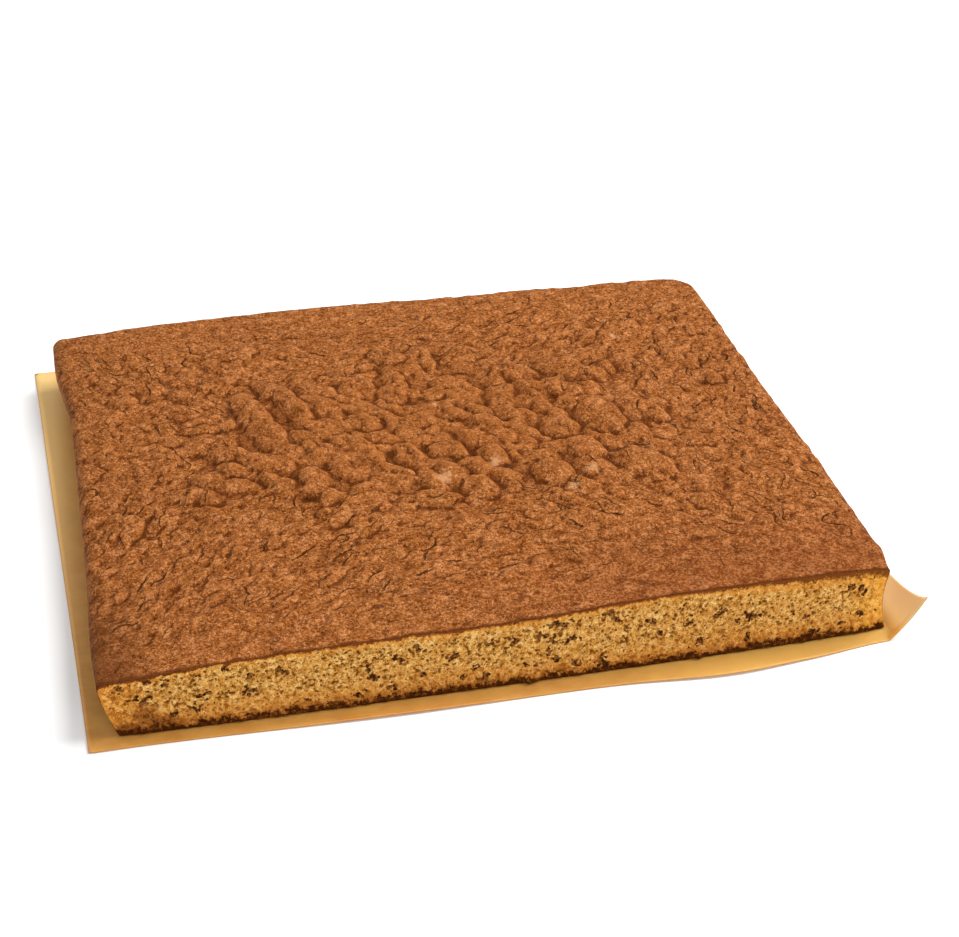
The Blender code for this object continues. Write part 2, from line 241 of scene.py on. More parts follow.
# Heights over the underside: two rises along the cut, a fall at its right end, and a low dome
FRONT_HEIGHT, FRONT_RISE, FRONT_SECOND_RISE, FRONT_FALL = 0.0325, 0.0045, 0.0032, 0.0018
BACK_HEIGHT, BACK_RISE, MIDDLE_RISE = 0.0356, 0.0025, 0.0020
SWELL_HEIGHT, SWELL_LENGTH = 0.0008, 0.055
UNEVEN_HEIGHT, UNEVEN_LENGTH = 0.0005, 0.011

# How far the outline stands out of the plain rectangle at the rim, and goes in to the foot
LEFT_FLARE, RIGHT_BULGE, BACK_BOW = 0.007, 0.0016, 0.0062
CORNER_SWELL, CORNER_PULL = 0.0011, 0.0042
LEFT_UNDERCUT, RIGHT_UNDERCUT, BACK_UNDERCUT = 0.0077, 0.0038, 0.0045
LEFT_UNDERCUT_BEND = 1.5
FRONT_FOOT, FRONT_FOOT_GAIN = 0.0032, 0.0020

cake_low, cake_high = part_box("cake")
print("the cake's solid spans", [round(high - low, 4) for low, high in zip(cake_low, cake_high)])


# %% Soft steps and noise on arrays
def ease(amount):
    amount = np.clip(amount, 0.0, 1.0)
    return amount * amount * (3.0 - 2.0 * amount)


def ramp(value, span):
    return ease((value - span[0]) / (span[1] - span[0]))


def noise_over(x, y, length, layer):
    """Blender's noise, from -1 to 1, at every place of two arrays."""
    x, y = np.broadcast_arrays(x, y)
    places = zip(x.ravel() / length, y.ravel() / length)
    return np.array([noise.noise(Vector((a, b, layer))) for a, b in places]).reshape(x.shape)


# %% Height of the top over the plan
def plain_height(x, y):
    """Height of the top over the underside, without its blisters and rounded shoulder."""
    along = x / CAKE_WIDTH + 0.5
    away = y / CAKE_DEPTH + 0.5
    front = FRONT_HEIGHT + FRONT_RISE * ramp(along, (0.0, 0.2)) + FRONT_SECOND_RISE * ramp(along, (0.5, 0.7))
    front = front - FRONT_FALL * ramp(along, (0.92, 1.0))
    back = BACK_HEIGHT + BACK_RISE * np.sin(math.pi * np.clip(along, 0.0, 1.0))
    height = front + (back - front) * ease(away)
    height = height + MIDDLE_RISE * (1.0 - (2.0 * along - 1.0) ** 2) * (1.0 - (2.0 * away - 1.0) ** 2)
    height = height + SWELL_HEIGHT * noise_over(x, y, SWELL_LENGTH, 3.1)
    return height + UNEVEN_HEIGHT * noise_over(x, y, UNEVEN_LENGTH, 7.7)


def shoulder_drop(home_x, home_y):
    """How far the crust has rounded down at a place of the plain rectangle."""
    behind_cut = ease((home_y - FRONT) / CUT_SHOULDER_REACH)
    radius = CUT_SHOULDER_RADIUS + (SHOULDER_RADIUS - CUT_SHOULDER_RADIUS) * behind_cut
    inside = np.minimum(np.minimum(RIGHT - np.abs(home_x), BACK - home_y), radius)
    over = radius - np.maximum(inside, 0.0)
    return radius - np.sqrt(radius ** 2 - over ** 2)


# %% Outline at every depth
def outline(home_x, home_y, depth):
    """Where a place of the plain rectangle is on the cake, at depth 0, the rim, to 1, the foot."""
    x, y = (np.array(part, float) for part in np.broadcast_arrays(home_x, home_y))
    for side, radius in ((-1.0, BACK_LEFT_RADIUS), (1.0, BACK_RIGHT_RADIUS)):
        off_x = side * x - (RIGHT - radius)
        off_y = y - (BACK - radius)
        corner = (off_x > 0.0) & (off_y > 0.0)
        pull = np.ones_like(x)
        pull[corner] = np.maximum(off_x, off_y)[corner] / np.hypot(off_x, off_y)[corner]
        x = np.where(corner, side * (RIGHT - radius + off_x * pull), x)
        y = np.where(corner, BACK - radius + off_y * pull, y)
    along = x / CAKE_WIDTH + 0.5
    away = y / CAKE_DEPTH + 0.5
    left = LEFT_UNDERCUT * depth ** LEFT_UNDERCUT_BEND - LEFT_FLARE * ramp(away, (0.70, 0.92))
    left = left - CORNER_SWELL * ramp(away, (0.0, 0.10)) * (1.0 - ramp(away, (0.12, 0.27)))
    right = RIGHT_BULGE * (1.0 - 0.75 * ramp(away, (0.3, 0.6)))
    right = right - CORNER_PULL * (1.0 - ramp(away, (0.0, 0.07)))
    hollow = 0.35 * depth + 0.65 * math.sin(math.pi * min(depth, 1.0))
    right = right * (1.0 - depth) - RIGHT_UNDERCUT * hollow
    back = BACK_BOW * (0.5 + 0.5 * ease(along / 0.15)) * (1.0 - ramp(along, (0.35, 0.70)))
    back = back - BACK_UNDERCUT * depth
    spread = np.sin(math.pi * np.clip(along, 0.0, 1.0)) ** 0.3
    front = -(FRONT_FOOT + FRONT_FOOT_GAIN * along) * spread * depth
    return x + left * (1.0 - along) + right * along, y + front * (1.0 - away) + back * away


# %% Pillows of skin: middle x and y, half length, half width, turn in degrees, rise
PILLOWS = [
    (-0.080, 0.054, 0.030, 0.0085, -65, 0.0042),
    (-0.096, 0.034, 0.038, 0.0100, -76, 0.0037),
    (-0.061, 0.047, 0.018, 0.0105, -48, 0.0032),
    (-0.075, 0.014, 0.012, 0.0085, -37, 0.0030),
    (-0.040, 0.022, 0.013, 0.0100, -41, 0.0035),
    (-0.035, 0.004, 0.016, 0.0080, -28, 0.0032),
    (-0.047, -0.010, 0.016, 0.0090, -47, 0.0034),
    (-0.077, -0.030, 0.014, 0.0105, -71, 0.0045),
    (-0.100, -0.008, 0.018, 0.0110, -36, 0.0032),
    (-0.126, 0.021, 0.015, 0.0100, -38, 0.0025),
    (0.050, 0.062, 0.021, 0.0110, -30, 0.0030),
    (0.087, 0.056, 0.018, 0.0100, -34, 0.0042),
    (0.026, 0.004, 0.013, 0.0100, -54, 0.0035),
    (0.001, -0.016, 0.013, 0.0085, -38, 0.0037),
    (0.023, -0.029, 0.0105, 0.0080, -62, 0.0045),
    (-0.003, -0.038, 0.013, 0.0100, -54, 0.0040),
    (0.048, 0.008, 0.013, 0.0095, -54, 0.0028),
    (0.067, -0.004, 0.015, 0.0100, -68, 0.0030),
    (0.092, 0.003, 0.020, 0.0130, -70, 0.0040),
    (0.075, -0.031, 0.014, 0.0095, -68, 0.0040),
    (0.052, -0.050, 0.013, 0.0095, -61, 0.0032),
    (0.103, -0.052, 0.018, 0.0120, -50, 0.0037),
]
BLISTERED_MIDDLE = (-0.005, 0.012)
BLISTERED_SPREAD = (0.135, 0.085)
PILLOW_TURN = -55.0


def how_far_out(x, y):
    """0 in the blistered middle of the top, 1 well outside it, and the way round it."""
    off_x = (x - BLISTERED_MIDDLE[0]) / BLISTERED_SPREAD[0]
    off_y = (y - BLISTERED_MIDDLE[1]) / BLISTERED_SPREAD[1]
    return float(ease(math.hypot(off_x, off_y) - 0.45)), math.atan2(off_y, off_x)


MIDDLE_BLISTERS, OTHER_BLISTERS = 110, 260


def draw_blisters():
    """The listed pillows, then the seeded smaller ones around them, as on the solid."""
    draw = random.Random(11)
    blisters = list(PILLOWS)
    for _ in range(MIDDLE_BLISTERS):
        x = draw.gauss(BLISTERED_MIDDLE[0], 0.070)
        y = draw.gauss(BLISTERED_MIDDLE[1], 0.036)
        half_width = draw.uniform(0.0050, 0.0088)
        half_length = half_width * draw.uniform(1.15, 1.9)
        turn = draw.gauss(-52.0, 22.0)
        blisters.append((x, y, half_length, half_width, turn, draw.uniform(0.0016, 0.0038)))
    for _ in range(OTHER_BLISTERS):
        x = draw.uniform(-0.5, 0.5) * (CAKE_WIDTH - 0.016)
        y = draw.uniform(-0.5, 0.5) * (CAKE_DEPTH - 0.016)
        outside, around = how_far_out(x, y)
        half_width = (0.0085 - 0.0035 * outside) * draw.uniform(0.75, 1.25)
        half_length = half_width * draw.uniform(1.1, 1.9)
        turn = PILLOW_TURN * (1.0 - outside) + outside * (-90.0 - math.degrees(around))
        turn += draw.uniform(-25.0, 25.0)
        rise = (0.0030 - 0.0021 * outside) * draw.uniform(0.55, 1.15)
        blisters.append((x, y, half_length, half_width, turn, rise))
    return blisters


blisters = draw_blisters()
print(len(blisters), "blisters")

# %% [markdown]
# ## Finer skin
# Between the pillows the real crust is made of small overlapping scales, split by short dark
# cracks. On the left and right sides they lie along the sides, in front along the cut, and
# towards the corners in between. A scale is a low leaning dome like a pillow, and a crack is a
# groove that is drawn step by step, as a knife point would wander, so both follow one
# direction that is worked out from the place on the cake. Everything is seeded.


# %% Scales
def lie_of_skin(x, y):
    """The direction in which scales and cracks run, in radians."""
    return -math.pi / 2 - math.atan2(y, x)


def draw_low_domes(seed, count, half_widths, longest, rises, scatter, lean, fold):
    """Seeded folds or scales over the whole top: place, half sizes, turn, rise and lean."""
    draw = random.Random(seed)
    domes = []
    for _ in range(count):
        x = draw.uniform(-0.5, 0.5) * CAKE_WIDTH
        y = draw.uniform(-0.5, 0.5) * CAKE_DEPTH
        outside, _ = how_far_out(x, y)
        half_width = draw.uniform(*half_widths) * MM
        half_length = half_width * draw.uniform(1.2, longest)
        lie = math.degrees(lie_of_skin(x, y))
        turn = (PILLOW_TURN * (1.0 - outside) + outside * lie if fold else lie) + draw.gauss(0.0, scatter)
        rise = draw.uniform(*rises) * MM * (0.95 - 0.20 * outside if fold else 0.30 + 0.70 * outside)
        smooth = ramp(abs(y) / BACK, (0.68, 0.93) if fold else (0.72, 0.95))
        rise *= 1.0 - (0.65 if fold else 0.55) * float(smooth)
        domes.append((x, y, half_length, half_width, turn, rise, draw.uniform(-lean, lean)))
    return domes


folds = draw_low_domes(41, 1500, (2.8, 5.5), 2.2, (0.5, 1.6), 22.0, 0.6, True)
scales = draw_low_domes(23, 4200, (1.6, 3.4), 2.4, (0.28, 0.85), 24.0, 0.7, False)
print(len(folds), "folds and", len(scales), "scales")


# %% Domes on an array of places
FOLD_LEAN = 0.35
FOLD_BEND = 0.0022
FOLD_BEND_LENGTH = 0.016
DOME_ROUND = 0.7           # 0.5 is an ellipsoid, 1 a parabola


def window(x, y, middle_x, middle_y, reach):
    """The rows and columns, of arrays of places, that lie around a point."""
    row = min(np.searchsorted(y[:, x.shape[1] // 2], middle_y), x.shape[0] - 1)
    column = min(np.searchsorted(x[row], middle_x), x.shape[1] - 1)
    near_rows = slice(*np.searchsorted(y[:, column], (middle_y - reach, middle_y + reach)))
    near_columns = slice(*np.searchsorted(x[row], (middle_x - reach, middle_x + reach)))
    return near_rows, near_columns


def raise_domes(x, y, domes):
    """Height of the highest dome over each place."""
    height = np.zeros_like(x)
    for centre_x, centre_y, half_length, half_width, turn, rise, *lean in domes:
        rows, columns = window(x, y, centre_x, centre_y, half_length + 6.0 * MM)
        off_x, off_y = x[rows, columns] - centre_x, y[rows, columns] - centre_y
        angle = math.radians(turn)
        along = (off_x * math.cos(angle) + off_y * math.sin(angle)) / half_length
        across = (off_y * math.cos(angle) - off_x * math.sin(angle)) / half_width
        inside = np.clip(1.0 - along ** 2 - across ** 2, 0.0, 1.0)
        dome = rise * inside ** DOME_ROUND * (1.0 + (lean[0] if lean else FOLD_LEAN) * across)
        height[rows, columns] = np.maximum(height[rows, columns], dome)
    return height


# %% Cracks
def draw_cracks(count):
    """Short wandering lines: each is a list of places, with a depth for the whole line."""
    draw = random.Random(5)
    cracks = []
    for _ in range(count):
        x = draw.uniform(-0.5, 0.5) * (CAKE_WIDTH - 0.02)
        y = draw.uniform(-0.5, 0.5) * (CAKE_DEPTH - 0.02)
        outside, _ = how_far_out(x, y)
        smooth = float(ramp(abs(y) / BACK, (0.72, 0.93)))
        depth = draw.uniform(0.25, 1.0) * (0.30 + 0.70 * outside) * (1.0 - 0.75 * smooth)
        heading = lie_of_skin(x, y) + draw.gauss(0.0, 0.28)
        if draw.random() < 0.5:
            heading += math.pi
        steps = draw.randint(6, 18)
        line = []
        for step in range(steps):
            fade = math.sin(math.pi * (step + 1) / (steps + 1)) ** 0.5
            line.append((x, y, heading, depth * fade))
            heading += draw.gauss(0.0, 0.20)
            x += 0.8 * MM * math.cos(heading)
            y += 0.8 * MM * math.sin(heading)
        cracks.append(line)
    return cracks


def carve_cracks(x, y, cracks):
    """The nearest crack's depth at each place, and how far across it, in mm, the place is."""
    nearest = np.full_like(x, 1.0)
    depth_there, across_there = np.zeros_like(x), np.full_like(x, 9.0)
    for line in cracks:
        for spot_x, spot_y, heading, depth in line:
            rows, columns = window(x, y, spot_x, spot_y, 4.5 * MM)
            off_x, off_y = x[rows, columns] - spot_x, y[rows, columns] - spot_y
            away = np.hypot(off_x, off_y)
            across = (off_y * math.cos(heading) - off_x * math.sin(heading)) / MM
            nearer = (away < nearest[rows, columns]) & (away < 4.0 * MM)
            nearest[rows, columns] = np.where(nearer, away, nearest[rows, columns])
            depth_there[rows, columns] = np.where(nearer, depth, depth_there[rows, columns])
            across_there[rows, columns] = np.where(nearer, across, across_there[rows, columns])
    return depth_there * ramp(nearest / MM, (3.2, 1.9)), across_there


cracks = draw_cracks(430)
print(sum(len(line) for line in cracks), "steps of cracks")

# %% Pits between the pillows: place, radius and depth
PITS = [
    (0.0848, 0.0420, 3.4, 1.9), (-0.0818, -0.0432, 2.8, 1.6), (-0.0951, 0.0060, 2.2, 1.3),
    (-0.0110, -0.0134, 2.4, 1.5), (0.0964, -0.0645, 2.6, 1.4), (-0.1446, 0.0065, 3.0, 1.4),
    (-0.0560, 0.0330, 2.2, 1.2), (0.0380, -0.0180, 2.0, 1.2), (0.0100, -0.0500, 2.2, 1.1),
]


def sink_pits(x, y):
    depth = np.zeros_like(x)
    for pit_x, pit_y, radius, deep in PITS:
        away = np.hypot(x - pit_x, 1.4 * (y - pit_y)) / (radius * MM)
        depth = np.maximum(depth, deep * MM * np.exp(-away ** 2))
    return depth


print(len(PITS), "pits")

# %% [markdown]
# ## The crust
# The crust is the baked skin of the top, the three tray sides and the underside. It is made as
# one closed shell, with a shallow pocket in front that the crumb fills. A grid is the right start:
# a bmesh grid is moved to the top's height, its border is extruded down ring by ring for the
# sides, the foot is filled, and the front is opened, inset by the skin's edge and pushed back.
# The alternative, displacing a finished solid with a modifier, can't put the detail in rows that
# follow the cake's rounded shoulder.

# %% The grid of the top
TOP_STEP = 1.26 * MM
SHOULDER_STEPS = 6
SIDE_DEPTHS = (0.05, 0.11, 0.19, 0.28, 0.38, 0.48, 0.58, 0.68, 0.77, 0.85, 0.92, 0.97, 1.0)

shoulder_insets = [SHOULDER_RADIUS * (1.0 - math.cos(math.pi / 2 * (k / SHOULDER_STEPS)))
                   for k in range(SHOULDER_STEPS)]
middle_columns = round((CAKE_WIDTH - 2 * SHOULDER_RADIUS) / TOP_STEP)
middle_rows = round((CAKE_DEPTH - SHOULDER_RADIUS) / TOP_STEP)
columns = [LEFT + inset for inset in shoulder_insets]
columns += list(np.linspace(LEFT + SHOULDER_RADIUS, RIGHT - SHOULDER_RADIUS, middle_columns + 1))
columns += [RIGHT - inset for inset in reversed(shoulder_insets)]
rows = list(np.linspace(FRONT, BACK - SHOULDER_RADIUS, middle_rows + 1))
rows += [BACK - inset for inset in reversed(shoulder_insets)]
home_x, home_y = np.meshgrid(columns, rows)
top_x, top_y = outline(home_x, home_y, 0.0)
print("the top has", len(columns), "x", len(rows), "places")

# %% Heights of the top
def softened(values, times):
    """Blur an array by averaging each place with its neighbours, many times."""
    for _ in range(times):
        padded = np.pad(values, 1, mode="edge")
        beside = padded[1:-1, :-2] + padded[1:-1, 2:] + padded[:-2, 1:-1] + padded[2:, 1:-1]
        values = 0.5 * values + 0.125 * beside
    return values


def pushed(x, y, amount, length, layers):
    """Push places about with noise, so that what is drawn on them has a wandering outline."""
    return (x + amount * noise_over(top_x, top_y, length, layers[0]),
            y + amount * noise_over(top_x, top_y, length, layers[1]))


PILLOW_REACH = 1.1         # a little wider than on the solid, so that they meet in narrow creases
PILLOW_GAIN = 0.55         # and the creases are deeper
FOLD_GAIN = 0.4
SOFT_MEETING = 0.2 * MM
bent_x, bent_y = pushed(top_x, top_y, FOLD_BEND, FOLD_BEND_LENGTH, (1.3, 5.9))
lumpy_x, lumpy_y = pushed(bent_x, bent_y, 1.8 * MM, 6.5 * MM, (3.3, 7.1))
wider = [(x, y, PILLOW_REACH * half_length, PILLOW_REACH * half_width, turn, rise)
         for x, y, half_length, half_width, turn, rise in blisters]
large_height = 1.2 * raise_domes(lumpy_x, lumpy_y, wider[:len(PILLOWS)])
small_height = 0.95 * raise_domes(lumpy_x, lumpy_y, wider[len(PILLOWS):])
apart = np.sqrt((large_height - small_height) ** 2 + SOFT_MEETING ** 2) - SOFT_MEETING
pillow_height = softened(0.5 * (large_height + small_height + apart), 1)
pillow_height = pillow_height + PILLOW_GAIN * (pillow_height - softened(pillow_height, 200))
ragged_x, ragged_y = pushed(bent_x, bent_y, 1.1 * MM, 3.3 * MM, (2.2, 8.4))
fold_height = raise_domes(ragged_x, ragged_y, folds)
fold_height = fold_height + FOLD_GAIN * (fold_height - softened(fold_height, 40))
scale_height = raise_domes(ragged_x, ragged_y, scales)
crack_depth, crack_across = carve_cracks(ragged_x, ragged_y, cracks)
groove = crack_depth * np.exp(-(crack_across / 0.8) ** 2)
crack_lip = crack_depth * np.exp(-((crack_across - 1.5) / 1.1) ** 2)
pit_depth = sink_pits(top_x, top_y)
grain = 0.13 * MM * noise_over(top_x, top_y, 2.6 * MM, 4.4)
open_top = 1.0 - ramp(shoulder_drop(home_x, home_y) / SHOULDER_RADIUS, (0.35, 1.0))
fine = fold_height + scale_height + grain + 0.30 * MM * crack_lip - 0.55 * MM * groove - pit_depth
SKIN_SINK = 0.95 * MM      # brings the mean of the finer skin back to the solid's height
top_height = plain_height(top_x, top_y) + pillow_height + open_top * (fine - SKIN_SINK)
HIGH_SKIN = 0.0425         # over this height the tops of the pillows are flattened
HIGH_ROOM = 0.0032
over_high = np.maximum(top_height - HIGH_SKIN, 0.0)
top_height = np.minimum(top_height, HIGH_SKIN) + HIGH_ROOM * np.tanh(over_high / HIGH_ROOM)
top_z = CAKE_BASE + top_height - shoulder_drop(home_x, home_y)
print("highest place of the crust:", round(float(top_z.max()), 5), "solid:", round(cake_high[2], 5))

# %% Hollows
level = top_height / MM
crease = np.clip((softened(level, 5) - level) / 0.42, -1.0, 1.0)
valley = np.clip((softened(level, 80) - level) / 1.8, -1.0, 1.0)
cut_gap = (home_y - FRONT) / MM + 1.1 * noise_over(home_x, home_y, 3.0 * MM, 6.2)
near_cut = ramp(cut_gap / (1.0 + 1.5 * ramp(home_x, (-0.125, -0.185))), (1.8, 0.2))
print("creases cover", round(float((crease > 0.3).mean()), 3), "of the top")

# Painted highlights, where the smooth skin of a pillow has caught the light: place and radius in mm
PAINTED_HIGHLIGHT_SPOTS = [
    (0.0240, -0.0359, 2.6), (-0.0068, -0.0443, 3.6), (0.0723, -0.0516, 2.4), (0.0597, -0.0668, 2.8),
    (-0.0327, -0.0214, 1.4), (-0.0741, 0.0224, 1.6), (0.0026, 0.0299, 1.2), (0.1276, 0.0928, 2.0),
]
painted_highlight = np.zeros_like(top_x)
for highlight_x, highlight_y, radius in PAINTED_HIGHLIGHT_SPOTS:
    away = np.hypot(0.75 * (ragged_x - highlight_x), ragged_y - highlight_y) / (1.3 * radius * MM)
    painted_highlight = np.maximum(painted_highlight, np.exp(-away ** 2))
print(len(PAINTED_HIGHLIGHT_SPOTS), "shiny spots")


# %% What the grids share
def fresh_grid(shape, names):
    """A flat grid with a vertex for every place of an array: its layers, and its rows and columns."""
    mesh = bmesh.new()
    bmesh.ops.create_grid(mesh, x_segments=shape[1] - 1, y_segments=shape[0] - 1, size=1.0)
    layers = {name: mesh.verts.layers.float.new(name) for name in names}
    places = {vertex: (round((vertex.co.y + 1.0) / 2.0 * (shape[0] - 1)),
                       round((vertex.co.x + 1.0) / 2.0 * (shape[1] - 1))) for vertex in mesh.verts}
    return mesh, layers, places


def open_border(mesh):
    return [edge for edge in mesh.edges if edge.is_boundary]


def extrude_border(mesh):
    """Extrude the open border, and give the new vertices."""
    made = bmesh.ops.extrude_edge_only(mesh, edges=open_border(mesh))["geom"]
    return [item for item in made if isinstance(item, bmesh.types.BMVert)]


def origin_of(vertex, known):
    """The known vertex that a new one was extruded from."""
    return next(edge.other_vert(vertex) for edge in vertex.link_edges if edge.other_vert(vertex) in known)


# %% Grid to shell
carried = {"crease": crease, "valley": valley, "crack": crack_depth, "across": crack_across,
           "painted_highlight": painted_highlight, "top": open_top, "cut": near_cut}
crust, layers, places = fresh_grid(top_x.shape, (*carried, "below", "golden"))
ring = {}
for vertex, (row, column) in places.items():
    vertex.co = (top_x[row, column], top_y[row, column], top_z[row, column])
    for name, values in carried.items():
        vertex[layers[name]] = values[row, column]
    if vertex.is_boundary:
        ring[vertex] = (columns[column], rows[row], top_height[row, column]
                        - shoulder_drop(columns[column], rows[row]))
print("top grid:", len(crust.verts), "vertices")

# %% Sides, ring by ring
homes = {vertex: place[:2] for vertex, place in ring.items()}
SIDE_ROUGH = 0.45 * MM
for depth in SIDE_DEPTHS:
    lower = extrude_border(crust)
    places = [ring[origin_of(vertex, ring)] for vertex in lower]
    side_x, side_y = outline([place[0] for place in places], [place[1] for place in places], depth)
    ring = {}
    for vertex, place, x, y in zip(lower, places, side_x, side_y):
        z = CAKE_BASE + place[2] * (1.0 - depth)
        out = Vector((x / CAKE_WIDTH, y / CAKE_DEPTH, 0.0)).normalized()
        at = Vector((x, y, z))
        fade = min(1.0, 6.0 * (1.0 - depth), max(0.0, (place[1] - FRONT) / 0.006))
        rough = 0.7 * noise.noise(at / (7.0 * MM)) + 0.5 * noise.noise(at / (3.0 * MM))
        vertex.co = at + out * SIDE_ROUGH * rough * fade
        vertex[layers["below"]] = depth
        ring[vertex] = place
        homes[vertex] = place[:2]
bmesh.ops.contextual_create(crust, geom=open_border(crust))
print("with sides and foot:", len(crust.faces), "faces")

# %% The pocket for the crumb
SKIN_EDGE = 0.45 * MM
FOOT_EDGE = 0.4 * SKIN_EDGE
POCKET_DEPTH = 1.7 * MM
front_faces = [face for face in crust.faces
               if all(homes.get(vertex, (0.0, 0.0))[1] == FRONT for vertex in face.verts)]
bmesh.ops.delete(crust, geom=front_faces, context="FACES")
for vertex in extrude_border(crust):
    beside = origin_of(vertex, homes)
    x = homes[beside][0]
    sideways = SKIN_EDGE if x == LEFT else -SKIN_EDGE if x == RIGHT else 0.0
    depth = beside[layers["below"]]
    upward = {0.0: -SKIN_EDGE, 1.0: FOOT_EDGE}.get(depth, 0.0)
    vertex.co = beside.co + Vector((sideways, 0.0, upward))
    vertex[layers["cut"]] = 1.0
    vertex[layers["golden"]] = float(ramp(depth, (0.02, 0.12)) * ramp(depth, (1.0, 0.85)))
    vertex[layers["below"]] = 1.0 if depth > 0.9 else 0.0
    vertex[layers["top"]] = 1.0
bmesh.ops.translate(crust, verts=extrude_border(crust), vec=(0.0, POCKET_DEPTH, 0.0))
bmesh.ops.contextual_create(crust, geom=open_border(crust))
bmesh.ops.recalc_face_normals(crust, faces=crust.faces)
print("open edges left:", len(open_border(crust)))

# %% [markdown]
# A flat map of the crust goes with it: the top as one island, the sides as strips round it, and
# the rest small. The colours don't use it, but a piece that is shown outside Blender needs one.


# %% A flat map
def lay_flat(mesh, sort, sheet):
    """Give the mesh a flat map: sort says which island a face is on and how its points lie there."""
    layer = mesh.loops.layers.uv.new("OFBake")
    for face in mesh.faces:
        place = sort(face)
        for loop in face.loops:
            u, v = place(loop.vert.co)
            loop[layer].uv = (u / sheet, v / sheet)


top, below = layers["top"], layers["below"]


def crust_island(face):
    normal = face.normal
    if len(face.verts) > 4 and normal.z < -0.5:
        return lambda co: (0.445 + 0.25 * (co.x - LEFT + 0.01), 0.40 + 0.25 * (co.y - FRONT + 0.01))
    if all(homes.get(vertex, (0.0, 0.0))[1] == FRONT for vertex in face.verts) or normal.y < -0.9 \
            or any(vertex not in homes and vertex[top] == 0.0 for vertex in face.verts):
        return lambda co: (0.02 + co.x - LEFT, 0.45 + co.z + 0.5 * (co.y - FRONT))
    if any(vertex[below] > 0.0 for vertex in face.verts):
        if normal.y > abs(normal.x):
            return lambda co: (0.02 + co.x - LEFT, 0.385 + co.z)
        if normal.x < 0.0:
            return lambda co: (0.445 + co.z, 0.02 + co.y - FRONT)
        return lambda co: (0.495 + co.z, 0.02 + co.y - FRONT)
    return lambda co: (0.02 + co.x - LEFT, 0.02 + co.y - FRONT)


lay_flat(crust, crust_island, 0.56)


# %% Mesh to piece
def make_piece(name, mesh_builder, finish, node, sharp):
    """Turn a bmesh into a piece that rides on the body and stands for a node of the solid."""
    mesh = bpy.data.meshes.new(name)
    bmesh.ops.triangulate(mesh_builder, faces=[f for f in mesh_builder.faces if len(f.verts) > 4])
    triangles = sum(len(face.verts) - 2 for face in mesh_builder.faces)
    mesh_builder.to_mesh(mesh)
    mesh_builder.free()
    mesh.materials.append(finish.material)
    mesh.shade_smooth()
    mesh.set_sharp_from_angle(angle=math.radians(sharp))
    piece = bpy.data.objects.new(name, mesh)
    bpy.context.scene.collection.objects.link(piece)
    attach(piece, "root")
    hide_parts(node)
    print(name, "has", triangles, "triangles")
    return piece


# %% [markdown]
# ## Finish of the crust
# The skin is browned unevenly: orange-brown where it stands up, chocolate in creases and cracks,
# with a grain of one or two millimetres all over. Creases and cracks are darkened further as
# painted shade, and standing skin is lightened as painted light. The scales' and cracks' finest
# edges are too small for the mesh, so they come from noise that is stretched along the lie of the
# skin. Its stretched coordinates are the square of the place taken as a complex number, which
# turns smoothly from along the sides to along the cut without a seam.

# %% Places on the crust
skin = Finish("carrot cake crust", roughness=0.62, specular=0.03)
spot = skin.place()
x, y, z = skin.split(spot)
SKIN_TURN = 150.0          # this far out, in mm, the stretched pattern has its true size
WANDER = 6.0
wander = skin.clouds(spot, 7.0, 2.0) - 0.5
wander_too = skin.clouds(spot, 6.1, 2.0) - 0.5
across = (x * x - y * y) / (2.0 * SKIN_TURN) + wander * WANDER
along = x * y / SKIN_TURN + wander_too * WANDER
stretched = skin.join(across, along * 0.38, z)
off_x = (x - BLISTERED_MIDDLE[0] / MM) / (BLISTERED_SPREAD[0] / MM)
off_y = (y - BLISTERED_MIDDLE[1] / MM) / (BLISTERED_SPREAD[1] / MM)
middle = skin.step(off_x * off_x + off_y * off_y, 0.9, 0.2)
front_right = skin.step(y, -90.0, -160.0) * skin.step(x, -60.0, 110.0)
print("the skin's patterns follow its lie")

# %% Mottling of the browned skin
grit = skin.clouds(spot, 0.75, 2.0, 0.6)
fleck = skin.clouds(spot, 1.7, 3.0, 0.62)
blotch = skin.clouds(spot, 6.0, 3.0, 0.6)
region = skin.clouds(spot, 38.0, 2.0)
tone = grit * 0.32 + fleck * 0.42 + blotch * 0.26
tone = (tone - 0.5) * (1.0 - middle * 0.2 + front_right * 0.4) + 0.5
browned = skin.mix(skin.step(tone, 0.40, 0.50), (97, 46, 10), (144, 84, 38))
browned = skin.mix(skin.step(tone, 0.50, 0.60), browned, (190, 126, 78))
skin.colour(skin.shade(browned, region * 0.24 + 0.88))

# Painted shade: creases and valleys are darkened for the light they lose, and browned deeper
skin.lay(skin.step(skin.stored("crease"), 0.10, 0.9) * 0.85, (76, 34, 5))
skin.lay(skin.step(skin.stored("valley"), 0.1, 0.9) * 0.54, (86, 40, 9))
print("the skin is browned, and deeper in its creases")

# %% Cracks darkened as painted shade with a raised lip painted lighter, and hairlines darkened as painted shade: level lines of stretched noise, broken up by patches
crack_deep = skin.step(skin.stored("crack"), 0.08, 0.55)
crack_side = skin.stored("across") + (fleck - 0.5) * 1.1
crack_share = skin.step(abs(crack_side), 0.62, 0.10) * crack_deep
lip_share = skin.step(crack_side, 0.25, 0.6) * skin.step(crack_side, 1.9, 0.8) * crack_deep
wrinkles = skin.clouds(stretched, 4.2, 2.0, 0.45)
patches = skin.step(skin.clouds(spot, 9.0, 1.0), 0.48, 0.62)
hairline = skin.step(abs(wrinkles - 0.5), 0.016, 0.0) * patches
ledge = skin.step(wrinkles, 0.47, 0.53)
# Painted light on the cracks' raised lip, and painted shade in the cracks and hairlines
skin.lay(lip_share * 0.22, (200, 132, 72))
skin.lay(crack_share * 0.75, (62, 29, 8))
skin.lay(hairline * 0.45, (74, 36, 10))
print("the cracks are dark")
